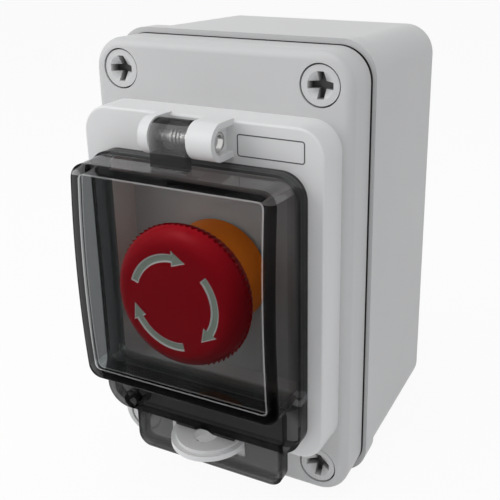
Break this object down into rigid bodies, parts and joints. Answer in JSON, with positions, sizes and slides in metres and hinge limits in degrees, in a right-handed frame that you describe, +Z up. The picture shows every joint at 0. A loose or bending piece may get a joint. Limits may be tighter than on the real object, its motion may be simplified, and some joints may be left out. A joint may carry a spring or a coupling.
{
  "type": "emergency stop button box",
  "caption": "Grey wall box with a red twist-to-release mushroom stop button under a sprung, hinged smoked cover that a padlock can hold shut.",
  "frame": {"origin": "centre of the back face, on the wall", "axes": "+X right seen from the front, +Y into the wall, +Z up; the button looks along -Y"},
  "size_m": [0.0806, 0.0923, 0.131],
  "materials": {
    "shell_grey": "satin moulded",
    "screw_grey": "satin moulded",
    "frame_white": "satin moulded",
    "seal_black": "matt",
    "seal_grey": "matt",
    "smoked": "polished, see-through",
    "cap_red": "smooth moulded",
    "arrow_white": "filled paint",
    "collar_orange": "smooth moulded",
    "body_black": "moulded",
    "contact_grey": "moulded",
    "steel": "plain",
    "brass": "plain"
  },
  "bodies": {
    "enclosure": {"base_box": "shell_grey", "lid_gasket": "seal_black", "lid": "shell_grey", "lid_screws": "screw_grey", "front_panel": "frame_white", "panel_seal": "seal_black", "cover_seal": "seal_grey", "panel_screws": "steel", "hinge_pin": "steel", "hinge_spring": "steel", "button_gasket": "seal_black", "button_collar": "collar_orange", "button_barrel": "body_black", "lock_nut": "body_black", "return_spring": "steel", "contact_carrier": "body_black", "contact_block_left": "contact_grey", "contact_block_right": "contact_grey", "contact_springs": "steel", "terminals": "brass", "terminal_screws": "steel"},
    "cover": {"flip_cover": "smoked"},
    "plunger": {"button_stem": "body_black"},
    "cap": {"button_cap": "cap_red", "arrow_inlays": "arrow_white"},
    "contacts": {"contact_plungers": "body_black", "contact_bridges": "brass"}
  },
  "joints": [
    {"name": "cover_hinge", "type": "hinge", "parent": "enclosure", "child": "cover", "pos_m": [0, -0.0819, 0.0423], "axis": [-1, 0, 0], "range_deg": [0, 110], "stiffness_Nm_per_rad": 0.03, "springref_deg": -34.38, "deforming": ["hinge_spring"]},
    {"name": "button_push", "type": "slide", "parent": "enclosure", "child": "plunger", "axis": [0, 1, 0], "range_m": [0, 0.005], "stiffness_N_per_m": 1500, "springref_m": -0.004, "deforming": ["return_spring"]},
    {"name": "button_twist", "type": "hinge", "parent": "plunger", "child": "cap", "pos_m": [0, -0.085, 0.0008], "axis": [0, 1, 0], "range_deg": [0, 45], "stiffness_Nm_per_rad": 0.05, "springref_deg": -11.46},
    {"name": "contact_travel", "type": "slide", "parent": "enclosure", "child": "contacts", "axis": [0, 1, 0], "range_m": [0, 0.005], "deforming": ["contact_springs"]}
  ],
  "couplings": [
    {"joint": "contact_travel", "follows": "button_push", "ratio": 1}
  ]
}
